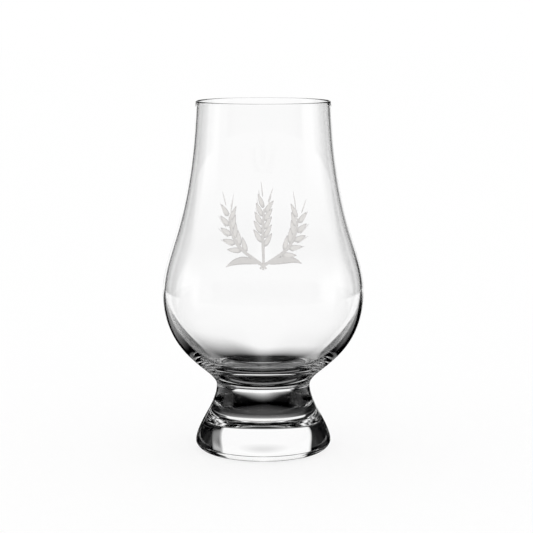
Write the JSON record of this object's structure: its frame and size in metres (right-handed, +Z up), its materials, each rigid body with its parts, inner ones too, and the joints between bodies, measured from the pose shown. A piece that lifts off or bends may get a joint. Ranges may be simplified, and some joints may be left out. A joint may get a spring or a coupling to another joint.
{
  "type": "whisky nosing glass",
  "caption": "Tulip-shaped whisky nosing glass: thin-walled bowl with a wide belly and a narrowing chimney mouth, fused at the waist to a short solid flared foot.",
  "frame": {"origin": "centre of the plane that the foot's resting ring stands on", "axes": "+Z up along the axis of revolution, from the foot to the mouth; X and Y are interchangeable"},
  "size_m": [0.066, 0.066, 0.115],
  "materials": {
    "bowl_glass": "clear blown crystal, fire-polished",
    "foot_glass": "clear pressed crystal, fire-polished"
  },
  "bodies": {
    "root": {"bowl": "bowl_glass", "foot": "foot_glass"}
  },
  "joints": []
}
